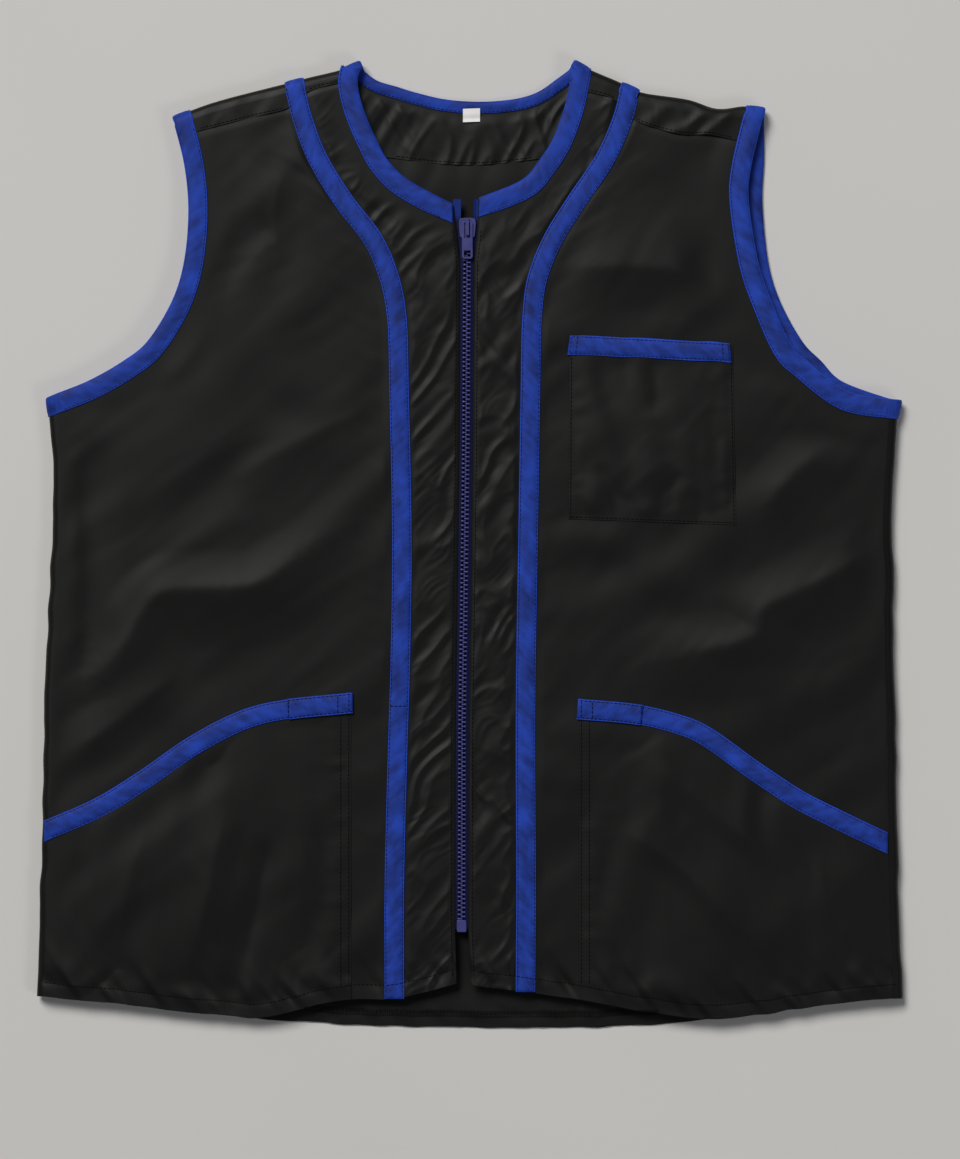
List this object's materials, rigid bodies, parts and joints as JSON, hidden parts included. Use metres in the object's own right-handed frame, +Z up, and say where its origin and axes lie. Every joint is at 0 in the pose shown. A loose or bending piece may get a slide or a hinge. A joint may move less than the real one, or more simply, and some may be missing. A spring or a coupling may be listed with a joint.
{
  "type": "barber vest",
  "caption": "Sleeveless zip-front work vest of thin black cloth, lying flat, with blue bound edges, stripes and pocket tapes.",
  "frame": {"origin": "centre of the footprint, on the surface under the back", "axes": "+Y from hem to neck, +Z up out of the front, +X to the wearer's left"},
  "size_m": [0.5696, 0.6369, 0.0152],
  "materials": {
    "cloth": "smooth black polyester, slightly shiny",
    "tape": "royal blue woven tape with topstitching",
    "zip_tape": "dark blue woven zip tape",
    "zip_plastic": "blue moulded plastic",
    "label": "white woven label, bare"
  },
  "bodies": {
    "vest": {"back_panel": "cloth", "back_yoke": "cloth", "chest_pocket": "cloth", "front_side_right": "cloth", "front_side_left": "cloth", "front_centre_right": "cloth", "front_centre_left": "cloth", "lower_pocket_right": "cloth", "lower_pocket_left": "cloth", "neck_binding": "tape", "chest_pocket_tape": "tape", "front_stripe_right": "tape", "front_stripe_left": "tape", "armhole_binding_right": "tape", "armhole_binding_left": "tape", "lower_pocket_tape_right": "tape", "lower_pocket_tape_left": "tape", "lower_pocket_tab_right": "tape", "lower_pocket_tab_left": "tape", "zip_tape_right": "zip_tape", "zip_tape_left": "zip_tape", "zip_slider": "zip_plastic", "zip_box": "zip_plastic", "zip_teeth_right": "zip_plastic", "zip_teeth_left": "zip_plastic", "size_label": "label"},
    "pull_tab": {"zip_pull": "zip_plastic"}
  },
  "joints": [
    {"name": "pull_hinge", "type": "hinge", "parent": "vest", "child": "pull_tab", "pos_m": [-0.00114, 0.2117, 0.013], "axis": [-1, 0, 0], "range_deg": [0, 170]}
  ]
}
